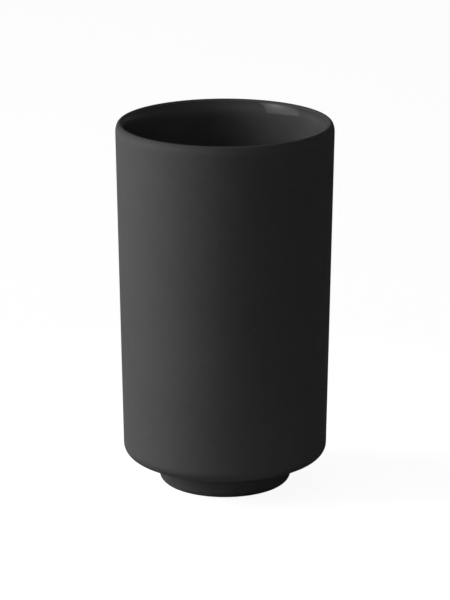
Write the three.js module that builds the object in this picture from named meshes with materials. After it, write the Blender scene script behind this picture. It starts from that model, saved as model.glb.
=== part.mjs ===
// A slip-cast stoneware tumbler for toothbrushes, in millimetres, +Z up.
// The tumbler's axis is Z, and the origin is on it, in the plane of the surface that the tumbler stands on.
// Three pieces: the fired body, the gloss glaze that lines it, and the silicone ring that it stands on.
import * as THREE from "three";

// Outside of the body
const bodyHeight = 120;
const mouthDiameter = 70;
const draftAngle = THREE.MathUtils.degToRad(1);
const heelRadius = 4;

// Wall and lip: the lip's crest stands nearer to the outside, and each side rolls off it in its own ellipse
const wallThickness = 3.5;
const lipOuterRoll = 1.3;
const lipOuterFall = 3;
const lipInnerFall = 6;

// Floor inside
const floorThickness = 4;
const floorCornerRadius = 8;

// Foot ring
const footDiameter = 43;
const footHeight = 9;
const footWall = 6.4;
const footEdgeRadius = 2.5;
const footJunctionRadius = 1;
const footRecessDepth = 6.2;
const footRecessRadius = 3;

// Gloss glaze inside: it starts on the lip's inner roll, this far past the crest
const glazeThickness = 0.4;
const glazeStartAngle = THREE.MathUtils.degToRad(25);

// Silicone ring, glued into a rebate round the inner edge of the foot ring
const ringWidth = 2.8;
const ringThickness = 1.6;
const ringStandsProud = 0.4;
const ringClearance = 0.2;
const ringChamfer = 0.3;

// Fineness of the turned surfaces
const turnSegments = 64;
const stepsPerQuarter = 6;

// Sizes that follow from the ones above
const QUARTER = Math.PI / 2;
const landZ = ringStandsProud;
const lipZ = landZ + bodyHeight;
const heelZ = landZ + footHeight;
const floorZ = heelZ + floorThickness;
const mouthRadius = mouthDiameter / 2;
const shoulderZ = lipZ - lipOuterFall;
const crestRadius = mouthRadius - lipOuterRoll;
const throatZ = lipZ - lipInnerFall;
const lipInnerRoll = crestRadius - innerWallRadius(throatZ);
const footRadius = footDiameter / 2;
const footBoreRadius = footRadius - footWall;
const rebateRadius = footBoreRadius + ringWidth + ringClearance;
const rebateZ = ringThickness;

// Radius of the drafted outer wall at a height
function outerWallRadius(z) {
  return mouthRadius - (shoulderZ - z) * Math.tan(draftAngle);
}

// Radius of the lining's face at a height: the cast wall is as thick all the way down
function innerWallRadius(z) {
  return outerWallRadius(z) - wallThickness;
}

// Points along an arc or a quarter of an ellipse in the radius and height plane, both ends included
function arc(radius, z, radialSize, axialSize, from, to) {
  const steps = Math.max(2, Math.round((Math.abs(to - from) / QUARTER) * stepsPerQuarter));
  return Array.from({ length: steps + 1 }, (_, i) => {
    const angle = from + ((to - from) * i) / steps;
    return new THREE.Vector2(radius + radialSize * Math.cos(angle), z + axialSize * Math.sin(angle));
  });
}

// A corner that rolls from a drafted wall, given by its radius at a height, to a level face below it
function drafted(wallRadius, levelZ, corner, size) {
  const z = levelZ + corner;
  const radius = wallRadius(z) - corner / Math.cos(draftAngle);
  return arc(radius, z, size, size, -draftAngle, -QUARTER);
}

// The inner side of the lip between two angles, sunk below its face by a depth
function innerRoll(depth, from, to) {
  return arc(crestRadius, throatZ, lipInnerRoll - depth, lipInnerFall - depth, from, to);
}

// The inside from the glaze's upper edge down to the axis, sunk below the lining's face by a depth
function insideFrom(depth) {
  return [
    ...innerRoll(depth, QUARTER + glazeStartAngle, 2 * QUARTER),
    ...drafted(innerWallRadius, floorZ, floorCornerRadius, floorCornerRadius + depth),
    new THREE.Vector2(0, floorZ - depth),
  ];
}

// The underside from the axis out to the land that surrounds the silicone ring
function undersideProfile() {
  const roofZ = landZ + footRecessDepth;
  const corner = footRecessRadius;
  return [
    new THREE.Vector2(0, roofZ),
    ...arc(footBoreRadius - corner, roofZ - corner, corner, corner, QUARTER, 0),
    new THREE.Vector2(footBoreRadius, rebateZ),
    new THREE.Vector2(rebateRadius, rebateZ),
    new THREE.Vector2(rebateRadius, landZ),
  ];
}

// The outside from the foot's lower edge up to the lip's crest
function outsideProfile() {
  const edge = footEdgeRadius;
  const hollow = footJunctionRadius;
  return [
    ...arc(footRadius - edge, landZ + edge, edge, edge, -QUARTER, 0),
    ...arc(footRadius + hollow, heelZ - hollow, hollow, hollow, 2 * QUARTER, QUARTER),
    ...drafted(outerWallRadius, heelZ, heelRadius, heelRadius).reverse(),
    ...arc(crestRadius, shoulderZ, lipOuterRoll, lipOuterFall, 0, QUARTER),
  ];
}

// The lip's crest is the last point outside and the first one here: the roll stays bare down to the glaze
function bareLipProfile() {
  return innerRoll(0, QUARTER, QUARTER + glazeStartAngle).slice(1);
}

// One turned piece from its profile, whose points run round it with the material on the left
function turned(name, profile, material) {
  const mesh = new THREE.Mesh(new THREE.LatheGeometry(profile, turnSegments), material);
  mesh.name = name;
  mesh.rotation.x = QUARTER;
  return mesh;
}

function tumblerBody() {
  const profile = [
    ...undersideProfile(),
    ...outsideProfile(),
    ...bareLipProfile(),
    ...insideFrom(glazeThickness),
  ];
  const matteStoneware = new THREE.MeshStandardMaterial({ color: 0x2f2f2f, roughness: 0.55, metalness: 0 });
  return turned("tumbler_body", profile, matteStoneware);
}

function interiorGlaze() {
  const profile = [...insideFrom(glazeThickness).reverse(), ...insideFrom(0)];
  const glossGlaze = new THREE.MeshStandardMaterial({ color: 0x2b2b2b, roughness: 0.12, metalness: 0 });
  return turned("interior_glaze", profile, glossGlaze);
}

function antiSlipRing() {
  const outer = rebateRadius - ringClearance;
  const inner = outer - ringWidth;
  const profile = [
    new THREE.Vector2(inner, ringChamfer),
    new THREE.Vector2(inner + ringChamfer, 0),
    new THREE.Vector2(outer - ringChamfer, 0),
    new THREE.Vector2(outer, ringChamfer),
    new THREE.Vector2(outer, rebateZ),
    new THREE.Vector2(inner, rebateZ),
    new THREE.Vector2(inner, ringChamfer),
  ];
  const silicone = new THREE.MeshStandardMaterial({ color: 0x1c1c1c, roughness: 0.8, metalness: 0 });
  return turned("anti_slip_ring", profile, silicone);
}

const tumbler = new THREE.Group();
tumbler.add(tumblerBody(), interiorGlaze(), antiSlipRing());

export default tumbler;
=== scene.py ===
"""Looks of the toothbrush tumbler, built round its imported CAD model.

A tall slip-cast stoneware tumbler: matte black glaze outside and over the lip, gloss black
glaze inside, a bare foot, and a silicone ring that the foot stands on. Metres, +Z up, and
the camera looks along +Y.
"""
import math

import bmesh
import bpy
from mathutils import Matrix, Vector


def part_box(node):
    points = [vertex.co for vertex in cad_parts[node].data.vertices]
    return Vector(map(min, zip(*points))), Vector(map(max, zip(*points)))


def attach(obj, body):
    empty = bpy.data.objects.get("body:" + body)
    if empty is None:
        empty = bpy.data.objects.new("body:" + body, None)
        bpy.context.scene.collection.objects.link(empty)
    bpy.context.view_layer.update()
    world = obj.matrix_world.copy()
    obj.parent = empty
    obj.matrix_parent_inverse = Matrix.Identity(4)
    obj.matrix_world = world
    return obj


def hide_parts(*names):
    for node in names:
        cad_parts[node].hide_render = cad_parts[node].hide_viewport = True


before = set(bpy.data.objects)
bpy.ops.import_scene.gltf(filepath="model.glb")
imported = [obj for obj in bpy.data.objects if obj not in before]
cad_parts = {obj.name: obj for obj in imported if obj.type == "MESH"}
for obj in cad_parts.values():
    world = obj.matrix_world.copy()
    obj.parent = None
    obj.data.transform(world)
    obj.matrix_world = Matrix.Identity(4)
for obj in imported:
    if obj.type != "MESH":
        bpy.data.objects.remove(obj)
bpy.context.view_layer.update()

MM = 0.001
QUARTER = math.pi / 2

# Sizes that the CAD nodes give
BODY_LOW, BODY_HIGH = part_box("tumbler_body")
RING_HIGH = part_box("anti_slip_ring")[1]
MOUTH_RADIUS = BODY_HIGH.x
LIP_Z = BODY_HIGH.z
LAND_Z = BODY_LOW.z
RING_RADIUS = RING_HIGH.x
RING_TOP_Z = RING_HIGH.z

# Sizes repeated from the CAD source
DRAFT = math.radians(1)
HEEL_RADIUS = 4 * MM
WALL = 3.5 * MM
LIP_OUTER_ROLL = 1.3 * MM
LIP_OUTER_FALL = 3 * MM
LIP_INNER_FALL = 6 * MM
FLOOR_THICKNESS = 4 * MM
FLOOR_CORNER = 8 * MM
FOOT_RADIUS = 21.5 * MM
FOOT_HEIGHT = 9 * MM
FOOT_BORE = 15.1 * MM
FOOT_EDGE = 2.5 * MM
FOOT_JUNCTION = 1 * MM
RECESS_DEPTH = 6.2 * MM
RECESS_CORNER = 3 * MM
REBATE_RADIUS = 18.1 * MM
GLAZE = 0.4 * MM
GLAZE_START = math.radians(25)
RING_EDGE = 0.3 * MM

# Levels and radii that follow from them
HEEL_Z = LAND_Z + FOOT_HEIGHT
FLOOR_Z = HEEL_Z + FLOOR_THICKNESS
RECESS_Z = LAND_Z + RECESS_DEPTH
SHOULDER_Z = LIP_Z - LIP_OUTER_FALL
THROAT_Z = LIP_Z - LIP_INNER_FALL
CREST_RADIUS = MOUTH_RADIUS - LIP_OUTER_ROLL

# Fineness of the turned meshes
TURN_SEGMENTS = 192
STEPS_PER_QUARTER = 20
FEWEST_STEPS = 3
WALL_STEP = 2.5 * MM
AXIS_TOLERANCE = 1e-9
SHARP_ANGLE = math.radians(40)

# Colours, linear
MATTE_COLOUR = (0.085, 0.085, 0.085)
CLAY_COLOUR = (0.16, 0.145, 0.13)
GLOSS_COLOUR = (0.062, 0.062, 0.062)
SILICONE_COLOUR = (0.016, 0.016, 0.016)
WHITE = (1, 1, 1, 1)

# Noises: metres from lump to lump, detail, and how rough the detail is
CLOUD_NOISE = (26 * MM, 3, 0.5)
MOTTLE_NOISE = (1.6 * MM, 4, 0.6)
CLAY_NOISE = (0.5 * MM, 4, 0.7)
GLAZE_LINE_NOISE = (4 * MM, 3, 0.5)
DRYNESS_NOISE = (5 * MM, 3, 0.5)
RIPPLE_NOISE = (11 * MM, 1, 0.5)
GRAIN_NOISE = (0.35 * MM, 3, 0.6)
POOLING_NOISE = (9 * MM, 3, 0.5)
GLOSS_NOISE = (3 * MM, 3, 0.5)
RUN_NOISE = (9 * MM, 1, 0.5)
PEEL_NOISE = (1.5 * MM, 2, 0.5)
DUST_NOISE = (2 * MM, 4, 0.7)
SILICONE_NOISE = (1.2 * MM, 3, 0.5)
MOULD_NOISE = (0.12 * MM, 2, 0.5)
NOISE_RANGE = (0.3, 0.7)

# Shares of a colour between which it varies
CLOUD_SHARES = (0.96, 1.04)
MOTTLE_SHARES = (0.95, 1.05)
CLAY_SHARES = (0.75, 1.2)
POOLING_SHARES = (0.94, 1.06)
DUST_SHARES = (0.8, 1.35)

# Painted shade over the lip's crest, which darkens both glazes there: the share of their colour
# that they keep there, and how far below the crest the painted shade starts and is darkest
CREST_SHADE_SHARE = 0.55
CREST_SHADE_FROM = 2 * MM
CREST_SHADE_FULL_FROM = 0.3 * MM

# The matte glaze stops in a wavy line above the land: heights between which it gives way to
# bare clay, and how far the line strays from them
GLAZE_LINE = (LAND_Z + 0.35 * MM, LAND_Z + 0.55 * MM)
GLAZE_LINE_WANDER = (-0.25 * MM, 0.25 * MM)

# Roughness, and what bare clay adds to it
MATTE_ROUGHNESS = (0.61, 0.69)
CLAY_ROUGHER_BY = 0.3
GLOSS_ROUGHNESS = (0.07, 0.11)
SILICONE_ROUGHNESS = (0.62, 0.78)

# Depths of the reliefs
RIPPLE_DEPTH = 0.03 * MM
GRAIN_DEPTH = 0.006 * MM
RUN_DEPTH = 0.02 * MM
PEEL_DEPTH = 0.0015 * MM
MOULD_DEPTH = 0.008 * MM

# Sockets of a Mix node: its factor, its two values and its result
MIX_SOCKETS = {"FLOAT": (0, 2, 3, 0), "RGBA": (0, 6, 7, 2)}

# Surroundings, as shares of white: what the world gives diffuse rays and glossy rays
WORLD_AMBIENT = 0.15
WORLD_REFLECTED = 0.1

# Floor: its colour fades with the distance from the tumbler, a painted pool of light round it; it
# shows nearly white, and it lies a hair below the silicone ring, so that the two faces don't
# flicker
FLOOR_SIZE = 6
FLOOR_POOL_RADII = (50 * MM, 180 * MM)
FLOOR_POOL_COLOURS = (0.26, 0.1)
FLOOR_LIFT = 0.93
FLOOR_DROP = 0.02 * MM

# Softboxes: their distance from the axis, and how a hot spot fades. At a scale of 1.5 it has
# faded out at two thirds of the panel's width or height from its middle.
LIGHT_DISTANCE = 1.1
SPOT_SCALE = 1.5
SPOT_FALLOFF = 3

# Camera, at the photograph's viewing angle
CAMERA_DISTANCE = 1.0
CAMERA_ELEVATION = math.radians(16.42)
CAMERA_AIM = Vector((0, 0, 61.2 * MM))
CAMERA_SENSOR = 36
CAMERA_LENS = 185.16


# Turned shapes: a profile is a list of (radius, height)

def outer_wall(z):
    """Radius of the drafted outer wall at a height."""
    return MOUTH_RADIUS - (SHOULDER_Z - z) * math.tan(DRAFT)


def inner_wall(z):
    """Radius of the lining's face at a height."""
    return outer_wall(z) - WALL


LIP_INNER_ROLL = CREST_RADIUS - inner_wall(THROAT_Z)


def arc(radius, z, radial, axial, start, end):
    """Points along an arc or part of an ellipse, both ends included."""
    steps = max(FEWEST_STEPS, round(abs(end - start) / QUARTER * STEPS_PER_QUARTER))
    angles = [start + (end - start) * i / steps for i in range(steps + 1)]
    return [(radius + radial * math.cos(a), z + axial * math.sin(a)) for a in angles]


def drafted_corner(wall, level_z, corner, size):
    """A corner that rolls from a drafted wall to a level face below it."""
    z = level_z + corner
    return arc(wall(z) - corner / math.cos(DRAFT), z, size, size, -DRAFT, -QUARTER)


def inner_roll(depth, start, end):
    """The inner side of the lip, sunk below its face by a depth."""
    radial, axial = LIP_INNER_ROLL - depth, LIP_INNER_FALL - depth
    return arc(CREST_RADIUS, THROAT_Z, radial, axial, start, end)


def inside_from(depth):
    """The inside from the glaze's upper edge down to the axis, sunk by a depth."""
    return [
        *inner_roll(depth, QUARTER + GLAZE_START, 2 * QUARTER),
        *drafted_corner(inner_wall, FLOOR_Z, FLOOR_CORNER, FLOOR_CORNER + depth),
        (0, FLOOR_Z - depth),
    ]


def underside():
    """The underside from the axis out to the land round the silicone ring."""
    corner = RECESS_CORNER
    return [
        (0, RECESS_Z),
        *arc(FOOT_BORE - corner, RECESS_Z - corner, corner, corner, QUARTER, 0),
        (FOOT_BORE, RING_TOP_Z),
        (REBATE_RADIUS, RING_TOP_Z),
        (REBATE_RADIUS, LAND_Z),
    ]


def outside():
    """The outside from the foot's lower edge up to the lip's crest."""
    edge, hollow = FOOT_EDGE, FOOT_JUNCTION
    return [
        *arc(FOOT_RADIUS - edge, LAND_Z + edge, edge, edge, -QUARTER, 0),
        *arc(FOOT_RADIUS + hollow, HEEL_Z - hollow, hollow, hollow, 2 * QUARTER, QUARTER),
        *drafted_corner(outer_wall, HEEL_Z, HEEL_RADIUS, HEEL_RADIUS)[::-1],
        *arc(CREST_RADIUS, SHOULDER_Z, LIP_OUTER_ROLL, LIP_OUTER_FALL, 0, QUARTER),
    ]


def bare_lip():
    """The inner roll from beside the crest, which ends the outside, down to the glaze."""
    return inner_roll(0, QUARTER, QUARTER + GLAZE_START)[1:]


def silicone_ring():
    """The ring's section, with rounded lower edges, which ends where it starts."""
    edge = RING_EDGE
    section = [
        *arc(FOOT_BORE + edge, edge, edge, edge, 2 * QUARTER, 3 * QUARTER),
        *arc(RING_RADIUS - edge, edge, edge, edge, 3 * QUARTER, 4 * QUARTER),
        (RING_RADIUS, RING_TOP_Z),
        (FOOT_BORE, RING_TOP_Z),
    ]
    return [*section, section[0]]


def with_rows(profile):
    """The profile with points added along its long straight runs, so that shading stays even."""
    points = [profile[0]]
    for (r0, z0), (r1, z1) in zip(profile, profile[1:]):
        rows = max(1, math.ceil(math.hypot(r1 - r0, z1 - z0) / WALL_STEP))
        shares = [i / rows for i in range(1, rows)]
        points += [(r0 + (r1 - r0) * share, z0 + (z1 - z0) * share) for share in shares]
        points.append((r1, z1))
    return points


def revolved(name, profile):
    """A closed mesh of a profile that starts and ends on the axis, or ends where it starts."""
    points = with_rows(profile)
    closed = points[0] == points[-1]
    if closed:
        points.pop()
    turns = [2 * math.pi * i / TURN_SEGMENTS for i in range(TURN_SEGMENTS)]
    bm = bmesh.new()
    rings = []
    for radius, z in points:
        if radius < AXIS_TOLERANCE:
            places = [(0, 0, z)]
        else:
            places = [(radius * math.cos(a), radius * math.sin(a), z) for a in turns]
        rings.append([bm.verts.new(place) for place in places])
    for lower, upper in zip(rings, rings[1:] + (rings[:1] if closed else [])):
        for i in range(TURN_SEGMENTS):
            j = (i + 1) % TURN_SEGMENTS
            corners = [
                lower[i % len(lower)], lower[j % len(lower)],
                upper[j % len(upper)], upper[i % len(upper)],
            ]
            bm.faces.new(list(dict.fromkeys(corners)))
    bmesh.ops.recalc_face_normals(bm, faces=bm.faces)
    mesh = bpy.data.meshes.new(name)
    bm.to_mesh(mesh)
    bm.free()
    mesh.shade_smooth()
    mesh.set_sharp_from_angle(angle=SHARP_ANGLE)
    return mesh


def turned(name, profile, material, node):
    """One turned piece, which rides on the body and stands for a CAD node."""
    mesh = revolved(name, profile)
    mesh.materials.append(material)
    piece = bpy.data.objects.new(name, mesh)
    bpy.context.scene.collection.objects.link(piece)
    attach(piece, "root")
    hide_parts(node)


# Materials

class Nodes:
    """A node tree, with short calls for the nodes that the finishes and the studio share."""

    def __init__(self, tree):
        self.tree = tree

    def add(self, kind, **settings):
        node = self.tree.nodes.new(kind)
        for key, value in settings.items():
            setattr(node, key, value)
        return node

    def put(self, value, target):
        """Links a socket to the target, or sets a plain value on it."""
        if isinstance(value, bpy.types.NodeSocket):
            self.tree.links.new(value, target)
        else:
            target.default_value = value

    def maths(self, operation, *values):
        node = self.add("ShaderNodeMath", operation=operation)
        for value, target in zip(values, node.inputs):
            self.put(value, target)
        return node.outputs["Value"]

    def mix(self, share, first, second, kind="FLOAT"):
        """The first value at a share of 0, and the second one at a share of 1."""
        node = self.add("ShaderNodeMix", data_type=kind)
        *inputs, output = MIX_SOCKETS[kind]
        for index, value in zip(inputs, (share, first, second)):
            self.put(value, node.inputs[index])
        return node.outputs[output]

    def spread(self, value, results, values=NOISE_RANGE):
        """A value that runs between two values, stretched to run between two results."""
        node = self.add("ShaderNodeMapRange")
        self.put(value, node.inputs["Value"])
        for name, limit in zip(("From Min", "From Max", "To Min", "To Max"), (*values, *results)):
            self.put(limit, node.inputs[name])
        return node.outputs["Result"]

    def seen(self):
        """1 for rays from the camera and through glass, 0 for the rays that light things."""
        rays = self.add("ShaderNodeLightPath").outputs
        return self.maths("MAXIMUM", rays["Is Camera Ray"], rays["Is Transmission Ray"])


class Finish(Nodes):
    """A new material's node tree, with the nodes that only materials use."""

    def __init__(self, name):
        self.material = bpy.data.materials.new(name)
        self.material.use_nodes = True
        super().__init__(self.material.node_tree)
        self.shader = self.tree.nodes["Principled BSDF"]
        self.place = self.add("ShaderNodeTexCoord").outputs["Object"]

    def set(self, socket, value):
        """Gives the shader's socket a value."""
        self.put(value, self.shader.inputs[socket])

    def height(self):
        node = self.add("ShaderNodeSeparateXYZ")
        self.put(self.place, node.inputs[0])
        return node.outputs["Z"]

    def noise(self, size, detail, roughness):
        node = self.add("ShaderNodeTexNoise")
        self.put(self.place, node.inputs["Vector"])
        self.put(1 / size, node.inputs["Scale"])
        self.put(detail, node.inputs["Detail"])
        self.put(roughness, node.inputs["Roughness"])
        return node.outputs["Fac"]

    def varied(self, noise, results):
        """A noise that runs between two results."""
        return self.spread(self.noise(*noise), results)

    def relief(self, noise, depth, under=None):
        """Normals of a noise that is this deep, laid over another relief."""
        node = self.add("ShaderNodeBump")
        self.put(depth, node.inputs["Distance"])
        self.put(self.noise(*noise), node.inputs["Height"])
        if under:
            self.put(under, node.inputs["Normal"])
        return node.outputs["Normal"]

    def shade(self, colour, share):
        """A share of a colour."""
        node = self.add("ShaderNodeVectorMath", operation="SCALE")
        self.put(colour, node.inputs[0])
        self.put(share, node.inputs["Scale"])
        return node.outputs["Vector"]

    def crest_shaded(self, share, height):
        """A share of a glaze's colour, less over the lip's crest: painted shade there."""
        heights = (LIP_Z - CREST_SHADE_FROM, LIP_Z - CREST_SHADE_FULL_FROM)
        return self.maths("MULTIPLY", share, self.spread(height, (1, CREST_SHADE_SHARE), heights))


def matte_stoneware():
    """Matte glaze with a faint mottle and a fine dry grain, and bare clay under the foot."""
    finish = Finish("stoneware_finish")
    height = finish.height()
    cloud = finish.varied(CLOUD_NOISE, CLOUD_SHARES)
    mottle = finish.varied(MOTTLE_NOISE, MOTTLE_SHARES)
    # Painted shade darkens the matte glaze over the lip's crest
    share = finish.crest_shaded(finish.maths("MULTIPLY", cloud, mottle), height)
    glaze = finish.shade(MATTE_COLOUR, share)
    clay = finish.shade(CLAY_COLOUR, finish.varied(CLAY_NOISE, CLAY_SHARES))
    wavy_height = finish.maths("ADD", height, finish.varied(GLAZE_LINE_NOISE, GLAZE_LINE_WANDER))
    bare = finish.spread(wavy_height, (1, 0), GLAZE_LINE)
    finish.set("Base Color", finish.mix(bare, glaze, clay, "RGBA"))
    dryness = finish.varied(DRYNESS_NOISE, MATTE_ROUGHNESS)
    rougher = finish.maths("MULTIPLY", bare, CLAY_ROUGHER_BY)
    finish.set("Roughness", finish.maths("ADD", dryness, rougher))
    ripple = finish.relief(RIPPLE_NOISE, RIPPLE_DEPTH)
    finish.set("Normal", finish.relief(GRAIN_NOISE, GRAIN_DEPTH, ripple))
    return finish.material


def gloss_glaze():
    """Gloss glaze, a little uneven where it ran and pooled."""
    finish = Finish("glaze_finish")
    # Painted shade darkens the gloss glaze over the lip's crest
    share = finish.crest_shaded(finish.varied(POOLING_NOISE, POOLING_SHARES), finish.height())
    finish.set("Base Color", finish.shade(GLOSS_COLOUR, share))
    finish.set("Roughness", finish.varied(GLOSS_NOISE, GLOSS_ROUGHNESS))
    run = finish.relief(RUN_NOISE, RUN_DEPTH)
    finish.set("Normal", finish.relief(PEEL_NOISE, PEEL_DEPTH, run))
    return finish.material


def silicone():
    """Dull black silicone with a fine moulded grain and a little dust in it."""
    finish = Finish("silicone_finish")
    finish.set("Base Color", finish.shade(SILICONE_COLOUR, finish.varied(DUST_NOISE, DUST_SHARES)))
    finish.set("Roughness", finish.varied(SILICONE_NOISE, SILICONE_ROUGHNESS))
    finish.set("Normal", finish.relief(MOULD_NOISE, MOULD_DEPTH))
    return finish.material


# The object

turned(
    "tumbler_shell", [*underside(), *outside(), *bare_lip(), *inside_from(GLAZE)],
    matte_stoneware(), "tumbler_body",
)
turned(
    "glaze_lining", [*inside_from(GLAZE)[::-1], *inside_from(0)],
    gloss_glaze(), "interior_glaze",
)
turned("foot_ring", silicone_ring(), silicone(), "anti_slip_ring")


# The studio

def panel(name, centre, towards, width, height):
    """A flat panel that faces a point."""
    mesh = bpy.data.meshes.new(name)
    w, h = width / 2, height / 2
    mesh.from_pydata([(-w, -h, 0), (w, -h, 0), (w, h, 0), (-w, h, 0)], [], [(0, 1, 2, 3)])
    piece = bpy.data.objects.new(name, mesh)
    piece.location = centre
    piece.rotation_euler = (Vector(towards) - Vector(centre)).to_track_quat("Z", "Y").to_euler()
    bpy.context.scene.collection.objects.link(piece)
    return piece


def hot_spot(finish, side, rise, width, height, core, rim):
    """Brightness of a panel with a bright spot, this far sideways and upwards from its middle."""
    spot = finish.add("ShaderNodeMapping")
    finish.put(finish.place, spot.inputs["Vector"])
    finish.put((SPOT_SCALE / width, SPOT_SCALE / height, 1), spot.inputs["Scale"])
    step = (-SPOT_SCALE * side / width, -SPOT_SCALE * rise / height, 0)
    finish.put(step, spot.inputs["Location"])
    gradient = finish.add("ShaderNodeTexGradient", gradient_type="SPHERICAL")
    finish.put(spot.outputs["Vector"], gradient.inputs["Vector"])
    peak = finish.maths("POWER", gradient.outputs["Fac"], SPOT_FALLOFF)
    return finish.maths("MULTIPLY_ADD", peak, core, rim)


def softbox(name, azimuth, width, low, high, rim, core=0, spot=(0, 0), diffuse=True, glossy=True):
    """An upright softbox at degrees left of the camera, between two heights.

    Its brightness is rim, and core more in a hot spot at a side step and a height. Diffuse and
    glossy say which rays find it: those that light matte surfaces, and those that mirror it.
    """
    angle = math.radians(azimuth)
    height, middle = high - low, (low + high) / 2
    centre = (-LIGHT_DISTANCE * math.sin(angle), -LIGHT_DISTANCE * math.cos(angle), middle)
    piece = panel(name, centre, (0, 0, middle), width, height)
    piece.visible_camera = False
    piece.visible_shadow = False
    piece.visible_diffuse = diffuse
    piece.visible_glossy = glossy
    finish = Finish(name)
    finish.tree.nodes.remove(finish.shader)
    emission = finish.add("ShaderNodeEmission")
    side, spot_height = spot
    strength = hot_spot(finish, side, spot_height - middle, width, height, core, rim)
    finish.put(strength, emission.inputs["Strength"])
    finish.put(emission.outputs["Emission"], finish.tree.nodes["Material Output"].inputs["Surface"])
    piece.data.materials.append(finish.material)


softbox("key_softbox", azimuth=91.5, width=0.75, low=0.25, high=1.0, rim=9.1, glossy=False)
softbox(
    "mirrored_softbox", azimuth=73, width=0.96, low=0.07, high=1.6, rim=0.8,
    core=3.0, spot=(-0.11, 0.92),
)
softbox("fill_softbox", azimuth=34, width=0.62, low=0.8, high=2.2, rim=0.7, glossy=False)
softbox("glint_panel", azimuth=127, width=0.22, low=0, high=0.09, rim=1.1, diffuse=False)

world = bpy.data.worlds.new("studio")
world.use_nodes = True
bpy.context.scene.world = world
sky = Nodes(world.node_tree)
background = sky.tree.nodes["Background"]
glossy_ray = sky.add("ShaderNodeLightPath").outputs["Is Glossy Ray"]
unseen_level = sky.mix(glossy_ray, WORLD_AMBIENT, WORLD_REFLECTED)
sky.put(WHITE, background.inputs["Color"])
sky.put(sky.mix(sky.seen(), unseen_level, 1), background.inputs["Strength"])

floor = panel("floor", (0, 0, -FLOOR_DROP), (0, 0, 1), FLOOR_SIZE, FLOOR_SIZE)
pale = Finish("pale_floor")
reach = pale.add("ShaderNodeVectorMath", operation="LENGTH")
pale.put(pale.place, reach.inputs[0])
# Painted pool of light: the floor's colour is paler near the tumbler
pale.set("Base Color", pale.spread(reach.outputs["Value"], FLOOR_POOL_COLOURS, FLOOR_POOL_RADII))
pale.set("Roughness", 1)
pale.set("Specular IOR Level", 0)
pale.set("Emission Color", WHITE)
pale.set("Emission Strength", pale.maths("MULTIPLY", pale.seen(), FLOOR_LIFT))
floor.data.materials.append(pale.material)

camera_data = bpy.data.cameras.new("camera")
camera_data.sensor_width = CAMERA_SENSOR
camera_data.lens = CAMERA_LENS
camera = bpy.data.objects.new("camera", camera_data)
back = Vector((0, -math.cos(CAMERA_ELEVATION), math.sin(CAMERA_ELEVATION)))
camera.location = CAMERA_AIM + CAMERA_DISTANCE * back
camera.rotation_mode = "QUATERNION"
camera.rotation_quaternion = (-back).to_track_quat("-Z", "Y")
bpy.context.scene.collection.objects.link(camera)
bpy.context.scene.camera = camera

bpy.context.scene.view_settings.view_transform = "Standard"
